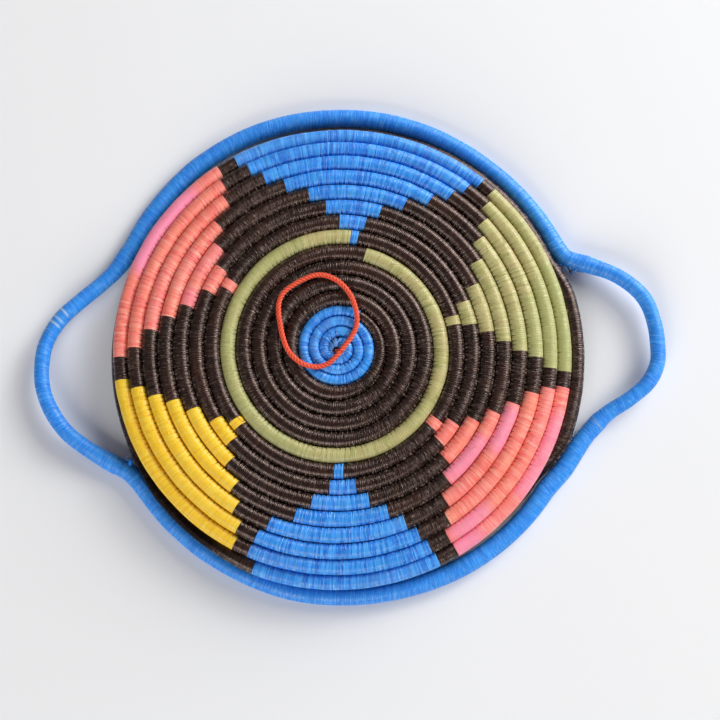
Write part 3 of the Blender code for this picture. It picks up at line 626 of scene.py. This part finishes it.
def foldedStrips(weave):
    rng = np.random.default_rng(31)
    half, count = basket["centreRow"] / 2, fold["count"]
    crest = basket["height"] + half
    for angle in 2 * math.pi * (np.arange(count) + rng.uniform(-0.5, 0.5, count)) / count:
        reach = rng.uniform(*fold["start"]) + rng.uniform(*fold["reach"]) * np.array((0, 0.3, 0.65, 1))
        ways = angle + rng.normal(0, fold["bend"]) * np.array((0, 0.4, 1, 1.2))
        level = np.array(fold["hole"]) + reach[:, None] * np.stack((np.cos(ways), np.sin(ways)), 1)
        across = (np.hypot(level[:, 0], level[:, 1]) - fold["firstRing"]) / half
        heights = crest - half * (1 - np.sqrt(1 - np.clip(across, -0.9, 0.9) ** 2)) + fold["lift"]
        heights[0] -= rng.uniform(*fold["sink"]) * mm
        addFibre(weave, np.column_stack((level, heights)), rng.uniform(*fold["width"]),
                 {"strand": rng.uniform(0, 1), "tint": rng.choice((0.0, 0.3, 0.9, 1.6)), "edge": 1.0}, 6)
    for angle in rng.uniform(0, 2 * math.pi, flecks["count"]):  # short pale ends on the first two turns
        way = np.array((math.cos(angle), math.sin(angle), 0))
        aside = np.array((-way[1], way[0], 0))
        turn = basket["startTurn"] + 0.15 + rng.uniform(0, flecks["turns"])
        turn += (90 - math.degrees(angle)) / 360 % 1 - turn % 1
        out = np.interp(turn, coilTurns, coilOut)
        over = rng.uniform(*flecks["over"]) + np.array((-0.25, 0, 0.25)) * rng.uniform(*flecks["arc"])
        lift = half + np.array(flecks["lift"]) * mm
        places = way * (out + lift * np.cos(over))[:, None] + aside * rng.normal(0, flecks["aside"])
        places[:, 2] = basket["height"] + lift * np.sin(over)
        if np.min(np.hypot(*(places[:, :2] - np.array(fold["hole"])).T)) > flecks["clear"]:
            width = rng.uniform(*flecks["width"]) * mm
            addFibre(weave, places, width, {"strand": 1.0, "tint": rng.uniform(0.5, 1.6)}, 4)


makeRows("centreCoilRows", [(basket["startTurn"], basket["innerStart"])], "blue", ["centre_coil"], 1,
         foldedStrips)
makeRows("innerCoilRows", [(basket["innerStart"], basket["bandStart"])], "brown", ["inner_coil"], 2)
makeRows("bandRow", [(basket["bandStart"], basket["starStart"])], "olive", ["band_coil"], 3)
makeRows("edgeRow", [(basket["edgeStart"], basket["edgeEnd"])], "brown", ["edge_coil"], 4)
petalSpans = [[(row + 1 + first / 360, row + 1 + last / 360) for row, (first, last) in enumerate(spans)]
              for spans in petals.values()]
for index, name in enumerate(petals):
    makeRows(name, petalSpans[index], petalColours[index], [petalNodes[index]], 10 + index)
for index, name in enumerate(rays):
    after = petalSpans[(index + 1) % 6]
    onward = 1 if index == 5 else 0  # the last ray ends at the first petal, one row further out
    spans = [(last, after[row + onward][0]) for row, (first, last) in enumerate(petalSpans[index])
             if row + onward < len(after)]
    makeRows(name, spans, "brown", [rays[name]], 20 + index)
print("coil rows made")

# Rim rope, handles and the bindings at their roots
ropeLook = {"pitch": 1.05 * mm, "sides": 16, "crest": 0.05 * mm, "groove": 0.06 * mm, "slant": 0.8 * mm,
            "taper": 15 * mm, "lashing": 0.9 * mm, "lashingWidth": 8 * mm, "lashingFade": 5 * mm,
            "spot": 0.8 * mm, "seamSwell": 0.75 * mm, "swellFrom": 10 * mm, "swellTo": 32 * mm,
            "core": 6 * mm, "swell": (16 * mm, 0.09 * mm), "fromSeam": 8.5 * mm}
seams = {"topRight": 67, "bottomRight": 109, "bottomLeft": 242, "topLeft": 296}
ropeClock = np.arange(0, 360.01, 0.25)
ropePlaces = ropeWay(ropeClock)
ropeLengths = lengthsAlong(np.linalg.norm(np.diff(ropePlaces, axis=0), axis=1))


def ropeStation(clock):
    return np.interp(clock, ropeClock, ropeLengths)


def ropeAt(stations):
    # places and directions at lengths along the rope, which closes on itself
    wrapped = np.mod(stations, ropeLengths[-1])
    centres = pointsAlong(wrapped, ropeLengths, ropePlaces)
    ahead = np.mod(stations + 1.5 * mm, ropeLengths[-1])
    behind = np.mod(stations - 1.5 * mm, ropeLengths[-1])
    along = unit(pointsAlong(ahead, ropeLengths, ropePlaces) - pointsAlong(behind, ropeLengths, ropePlaces))
    outs = unit(np.cross((0, 0, 1), along))
    return centres, outs, np.cross(along, outs)


paleSpots = ((275.2, 0.9), (276.2, 0.7), (277.7, 0.85), (105.9, 0.4))  # clock angle, how pale


def besideRope(clock, inward, up):
    # a place beside the rope's middle, inwards and upwards from it
    centres, outs, ups = ropeAt(ropeStation([clock]))
    return (centres - outs * inward + ups * up)[0]


seamStitches = {"clock": (211.5, 237, 1.25), "apart": 0.26, "missing": 0.15, "top": 11.1, "fall": 0.087,
                "width": (0.2, 0.34)}


def rimStitches(weave):
    # pale ends of sewing strips, in pairs beside the rope
    rng = np.random.default_rng(71)
    for clock in np.arange(*seamStitches["clock"]):
        top = (seamStitches["top"] - seamStitches["fall"] * (clock - 212)) * mm
        for side in (-1, 1):
            if rng.uniform() < seamStitches["missing"]:
                continue
            a = clock + side * seamStitches["apart"] + rng.normal(0, 0.1)
            places = [besideRope(a, 2.2 * mm, top + 1.8 * mm),
                      besideRope(a + 0.1, 1.8 * mm, top - 0.8 * mm),
                      besideRope(a + 0.2, rng.uniform(2.0, 2.6) * mm, top - 3.2 * mm)]
            width = rng.uniform(*seamStitches["width"]) * mm
            addFibre(weave, places, width, {"strand": 1.0, "tint": rng.uniform(0.6, 1.4)})


def rootEnds(weave, clock, count, seed, pale, dark=0):
    # strand ends and stitches that hang at a handle's root
    rng = np.random.default_rng(seed)
    for index in range(count):
        a, b = clock + rng.normal(0, 0.8, 2)
        start, length = rng.uniform(4.6, 6) * mm, rng.uniform(2.5, 7) * mm
        places = [besideRope(a, start, rng.uniform(1, 4) * mm),
                  besideRope((a + b) / 2, start + length / 2, 3 * mm),
                  besideRope(b, start + length, rng.uniform(0, 3.5) * mm)]
        # the last few ends are drawn near black with the slit-shade colour
        looks = {"strand": 1.0, "tint": float(index < pale), "tick": float(index >= count - dark)}
        addFibre(weave, places, rng.uniform(0.12, 0.32) * mm, looks)


def wrapRope(name, node, start, end, thickness, seed, extras):
    rng, weave = np.random.default_rng(seed), newWeave()
    stations, crest, shades, heights, own = strandStations(start, end, ropeLook["pitch"], rng)
    centres, outs, ups = ropeAt(stations)
    length = ropeLengths[-1]
    around = ringAngles(ropeLook["sides"], len(stations))
    radii = thickness(stations) + slowNoise(stations, *ropeLook["swell"], rng)
    least, more = rowLook["unevenCrest"]
    radii = radii + crest * ropeLook["crest"] * (least + more * heights) - (1 - crest) * ropeLook["groove"]
    tint = np.zeros_like(around)
    for clock, amount in paleSpots:
        away = (stations - ropeStation(clock) + length / 2) % length
        near = np.exp(-((away - length / 2) / ropeLook["spot"]) ** 2)
        tint = np.maximum(tint, amount * near[:, None] * smoothStep(0.1, 0.9, np.sin(around + 0.3)))
    addTube(weave, centres, outs, ups, radii[:, None] + 0 * around, around, stations,
            {"strand": shades, "groove": crest, "tint": tint}, ropeLook["slant"] * np.sin(around + 0.9))
    if extras:
        extras(weave)
    makePiece(name, weave, finishes["rope"], [node])


def ropeSection(name, first, last, node, onRim, seed, extras=None):
    start, end = ropeStation(seams[first]), ropeStation(seams[last])
    if end < start:
        end += ropeLengths[-1]
    thin, thick = basket["handleRope"] / 2, basket["rimRope"] / 2
    seamed = thin + ropeLook["seamSwell"]

    def thickness(stations):
        # full on the rim, thinner at the seams, thinnest along the handle
        fromSeam = np.minimum(stations - start, end - stations)
        if onRim:
            return seamed + (thick - seamed) * smoothStep(0, ropeLook["taper"], fromSeam)
        return seamed + (thin - seamed) * smoothStep(ropeLook["swellFrom"], ropeLook["swellTo"], fromSeam)

    wrapRope(name, node, start + 0.1 * mm, end - 0.1 * mm, thickness, seed, extras)


def rootLashing(name, seam, side, node, seed, extras):
    # a few tight turns round the handle where it leaves the rim
    middle = ropeStation(seams[seam]) + side * ropeLook["fromSeam"]
    half = ropeLook["lashingWidth"] / 2 + ropeLook["lashingFade"]
    under = basket["handleRope"] / 2 + 0.3 * mm

    def thickness(stations):
        ends = np.minimum(stations - middle + half, middle + half - stations)
        return under + (ropeLook["lashing"] - 0.2 * mm) * smoothStep(0, ropeLook["lashingFade"], ends)

    wrapRope(name, node, middle - half, middle + half, thickness, seed, extras)


def cutEnd(weave):
    # the cut end of the wrapping strip stands up at this root
    foot, tip = besideRope(240.9, 3.2 * mm, 2.5 * mm), besideRope(241.4, 9.4 * mm, 4.6 * mm)
    addFibre(weave, [foot, foot * 0.45 + tip * 0.55 + np.array((0, 0, 0.8 * mm)), tip], 1.7 * mm,
             {"strand": 0.5}, 10)
    rootEnds(weave, 241.6, 7, 72, 4)


ropeSection("rimWrapTop", "topLeft", "topRight", "rim_wrap_top", True, 41)
ropeSection("handleWrapRight", "topRight", "bottomRight", "handle_wrap_right", False, 42)
ropeSection("rimWrapBottom", "bottomRight", "bottomLeft", "rim_wrap_bottom", True, 43, rimStitches)
ropeSection("handleWrapLeft", "bottomLeft", "topLeft", "handle_wrap_left", False, 44)
rootLashing("rootLashingTopRight", "topRight", 1, "root_lashing_top_right", 45,
            lambda weave: rootEnds(weave, 67.6, 12, 73, 4, 3))
rootLashing("rootLashingBottomRight", "bottomRight", -1, "root_lashing_bottom_right", 46,
            lambda weave: rootEnds(weave, 111.5, 9, 74, 1, 7))
rootLashing("rootLashingBottomLeft", "bottomLeft", 1, "root_lashing_bottom_left", 47, cutEnd)
rootLashing("rootLashingTopLeft", "topLeft", -1, "root_lashing_top_left", 48,
            lambda weave: rootEnds(weave, 294.5, 4, 75, 1, 1))
print("rim rope and handles made")

# Hanging loop: a three-ply cord from its tie round and back to it
cordLook = {
    "diameter": 4 * mm, "sides": 24, "clearance": 0.3 * mm, "lay": 8.1 * mm, "fullness": 0.5, "lift": 1 * mm,
    "endGap": 0.5 * mm, "axisAngle": 38, "tie": (0.0013, -0.0034), "hole": (-0.0018, -0.0024),
    "strandAway": 0.536, "strandThick": 0.464,  # three strands that touch, as shares of the cord's radius
    "route": (
        (0.0032, -0.0010), (0.0054, 0.0018), (0.0088, 0.0067), (0.0122, 0.0134), (0.0133, 0.0203),
        (0.0120, 0.0290), (0.0089, 0.0372), (0.0037, 0.0447), (-0.0030, 0.0500), (-0.0104, 0.0529),
        (-0.0180, 0.0530), (-0.0252, 0.0503), (-0.0330, 0.0461), (-0.0404, 0.0402), (-0.0438, 0.0330),
        (-0.0441, 0.0252), (-0.0430, 0.0170), (-0.0408, 0.0067), (-0.0374, -0.0022), (-0.0318, -0.0090),
        (-0.0244, -0.0136), (-0.0160, -0.0148), (-0.0081, -0.0127), (-0.0036, -0.0090), (-0.0006, -0.0058)),
    "knotRing": 5.4 * mm, "knotStrand": 2.5 * mm, "knotShare": 0.87, "bend": 3 * mm,
}


def crestHeight(distance):
    # height of the rows that the cord lies on
    swell = smoothStep(basket["discRadius"] - basket["centreRow"], basket["discRadius"], distance)
    more = (basket["row"] - basket["centreRow"]) / 2
    return basket["height"] + basket["centreRow"] / 2 + more * float(swell)


def makeCordFinish():
    material, tree, shader = newFinish("redCord")
    strand, groove = readValue(tree, "strand"), readValue(tree, "groove")
    fibres = stretchedNoise(tree, (1.6, 3.0, 3.0), 3.0, 0.7)
    colour = blendColours(tree, spreadRange(tree, fibres, 0.3, 0.7, 0.0, 1.0), (0.82, 0.060, 0.016),
                          (1.0, 0.115, 0.036))
    colour = blendColours(tree, spreadRange(tree, fibres, 0.58, 0.75, 0.0, 0.6), colour, (1.0, 0.26, 0.11))
    # painted shade: the grooves between the three strands are blended towards a dark red
    between = spreadRange(tree, groove, 0.0, 0.55, 0.7, 0.0)
    colour = blendColours(tree, between, colour, (0.42, 0.020, 0.006))
    feed(tree, shader, {"Base Color": colour, "Roughness": spreadRange(tree, fibres, 0.3, 0.7, 0.62, 0.5),
                        "Specular IOR Level": 0.4, "Sheen Weight": 0.2})
    addRelief(tree, shader, 0.6, 0.2 * mm, fibres)
    return material


def twistCord(name, points, count, node, body="basket"):
    # three strands laid round each other
    line, lengths = smoothLine(points, count)
    along = unit(np.gradient(line, axis=0))
    side = np.cross(along[0], (0, 0, 1) if abs(along[0, 2]) < 0.8 else (1, 0, 0))
    outs = []
    for way in along:  # carried along without turning about the line
        side = side - way * (side @ way)
        side /= np.linalg.norm(side)
        outs.append(side)
    outs = np.array(outs)
    ups = np.cross(along, outs)
    around = ringAngles(cordLook["sides"], len(line))
    turned = around - 2 * math.pi * lengths[:, None] / cordLook["lay"] + math.pi / 3
    turned = turned % (2 * math.pi / 3) - math.pi / 3
    away, thick = cordLook["strandAway"], cordLook["strandThick"]
    lobe = away * np.cos(turned) + np.sqrt(np.maximum(thick ** 2 - (away * np.sin(turned)) ** 2, 0))
    full, weave = cordLook["fullness"], newWeave()
    addTube(weave, line, outs, ups, cordLook["diameter"] / 2 * (full + (1 - full) * lobe), around, lengths,
            {"strand": 0.5, "groove": np.clip(lobe * 2.5 - 1.5, 0, 1)})
    return makePiece(name, weave, redCord, [node], body)


redCord = makeCordFinish()
tieHeight = crestHeight(0) + cordLook["diameter"] / 2 + cordLook["clearance"] + cordLook["lift"]
tie = np.array((*cordLook["tie"], tieHeight))
endShift = clockWay(cordLook["axisAngle"]) * cordLook["endGap"] / 2
cordPoints = [tie + endShift]
for x, y in cordLook["route"]:
    fromTie = math.hypot(x - tie[0], y - tie[1])
    lift = cordLook["lift"] * (1 - float(smoothStep(1, 4, fromTie / cordLook["diameter"])))
    cordPoints.append(np.array((x, y, crestHeight(math.hypot(x, y)) + cordLook["diameter"] / 2
                                + cordLook["clearance"] + lift)))
cordPoints.append(tie - endShift)
hangCord = twistCord("hangCord", cordPoints, 560, "hang_cord", "hang_loop")

# Its leg through the middle of the coil, and the knot under the base
def knotPlace(angle):
    spread = cordLook["knotRing"] + cordLook["knotStrand"] * math.cos(3 * angle)
    return np.array((spread * math.cos(2 * angle), spread * math.sin(2 * angle),
                     cordLook["knotStrand"] * math.sin(3 * angle)))


def makeKnot():
    radius, firstAngle = cordLook["diameter"] / 2, math.pi / 6
    onward = knotPlace(firstAngle + 0.01) - knotPlace(firstAngle - 0.01)
    onward /= np.linalg.norm(onward)
    topOfKnot = basket["height"] - basket["centreRow"] / 2 - cordLook["clearance"] - radius
    hole, up = np.array((*cordLook["hole"], 0)), np.array((0, 0, 1))
    legTop = tie - up * (radius + cordLook["clearance"])
    line = [legTop, legTop - up * radius / 2, hole + up * basket["height"]]
    for quarter in (0, 30, 60):
        angle = math.radians(quarter)
        line.append(hole + onward * cordLook["bend"] * (1 - math.cos(angle))
                    + up * (topOfKnot + cordLook["bend"] * (1 - math.sin(angle))))
    bendEnd = hole + onward * cordLook["bend"] + up * topOfKnot
    for angle in firstAngle + 2 * math.pi * cordLook["knotShare"] * np.arange(30) / 29:
        line.append(bendEnd + knotPlace(angle) - knotPlace(firstAngle))
    twistCord("cordKnot", line, 260, "cord_knot")


makeKnot()
print("hanging loop and its knot made")

# The grass core inside the rope, a bundle of stems
def makeGrassFinish():
    material, tree, shader = newFinish("grassCore")
    blades = stretchedNoise(tree, (0.08, 1.6, 1.6), 3.0)
    shade = calculate(tree, "ADD", calculate(tree, "MULTIPLY", blades, 0.6),
                      calculate(tree, "MULTIPLY", readValue(tree, "strand"), 0.4))
    colour = blendColours(tree, spreadRange(tree, shade, 0.25, 0.75, 0.0, 1.0), (0.36, 0.25, 0.12),
                          (0.70, 0.57, 0.34))
    feed(tree, shader, {"Base Color": colour, "Roughness": 0.8})
    addRelief(tree, shader, 0.5, 0.4 * mm, blades)
    return material


core = {"outerStems": 9, "innerStems": 3, "stem": 0.8 * mm, "sides": 6, "step": 5 * mm, "turn": 70 * mm,
        "sway": (60 * mm, 0.04)}


def makeCore():
    weave = newWeave()
    rng = np.random.default_rng(61)
    stations = np.arange(0.2 * mm, ropeLengths[-1] - core["step"], core["step"])
    for stem in range(core["outerStems"] + core["innerStems"]):
        outer = stem < core["outerStems"]
        many = core["outerStems"] if outer else core["innerStems"]
        offset = ropeLook["core"] / 2 - core["stem"] * (0.9 if outer else 2.6)
        angle = 2 * math.pi * stem / many + stations / core["turn"] + slowNoise(stations, *core["sway"], rng)
        centres, outs, ups = ropeAt(stations)
        centres = centres + outs * (offset * np.cos(angle))[:, None] + ups * (offset * np.sin(angle))[:, None]
        around = ringAngles(core["sides"], len(stations))
        addTube(weave, centres, outs, ups, core["stem"] + 0 * around, around, stations,
                {"strand": rng.uniform(0, 1)})
    makePiece("rimCore", weave, makeGrassFinish(), ["rim_core"])


makeCore()
print("grass core made")

# Floor and light
stage = {"floor": 7.0, "floorColour": (0.86, 0.86, 0.865), "worldColour": (1.0, 0.95, 0.985),
         "worldLight": 0.17, "backdrop": (0.82, 0.82, 0.83)}
floorMesh = bpy.data.meshes.new("floor")
reach = stage["floor"] / 2
floorMesh.from_pydata([(-reach, -reach, 0), (reach, -reach, 0), (reach, reach, 0), (-reach, reach, 0)], [],
                      [(0, 1, 2, 3)])
floor = addObject("floor", floorMesh)
floorFinish, floorTree, floorShader = newFinish("paleFloor")
feed(floorTree, floorShader, {"Base Color": stage["floorColour"], "Roughness": 0.9,
                              "Specular IOR Level": 0.1})
floorMesh.materials.append(floorFinish)

world = bpy.data.worlds.new("studio")
world.use_nodes = True
worldTree = world.node_tree
dim = worldTree.nodes["Background"]
feed(worldTree, dim, {"Color": stage["worldColour"], "Strength": stage["worldLight"]})
# the backdrop is only seen and lights nothing
pale = addNode(worldTree, "ShaderNodeBackground", None, Color=stage["backdrop"], Strength=1.0)
seen = addNode(worldTree, "ShaderNodeLightPath").outputs["Is Camera Ray"]
both = addNode(worldTree, "ShaderNodeMixShader", None, at0=seen, at1=dim.outputs[0], at2=pale.outputs[0])
feed(worldTree, worldTree.nodes["World Output"], {"Surface": both.outputs[0]})
scene.world = world

lamps = {
    "keyLight": {"place": (2.5, 2.05, 1.75), "size": 0.8, "watts": 26.0, "colour": (0.985, 1.0, 1.0)},
    "softLight": {"place": (2.5, 2.05, 1.50), "size": 3.0, "watts": 168.0, "colour": (0.99, 1.0, 1.0)},
    "fillLight": {"place": (-1.0, -3.4, 2.0), "size": 2.6, "watts": 112.0, "colour": (0.99, 1.0, 1.0)},
}
for name, lamp in lamps.items():
    light = bpy.data.lights.new(name, "AREA")
    light.shape, light.size, light.energy, light.color = "SQUARE", lamp["size"], lamp["watts"], lamp["colour"]
    lampObject = addObject(name, light)
    lampObject.location = lamp["place"]
    lampObject.rotation_mode = "QUATERNION"
    lampObject.rotation_quaternion = Vector(lamp["place"]).to_track_quat("Z", "Y")
scene.view_settings.view_transform = "Standard"
print("floor and lamps set")
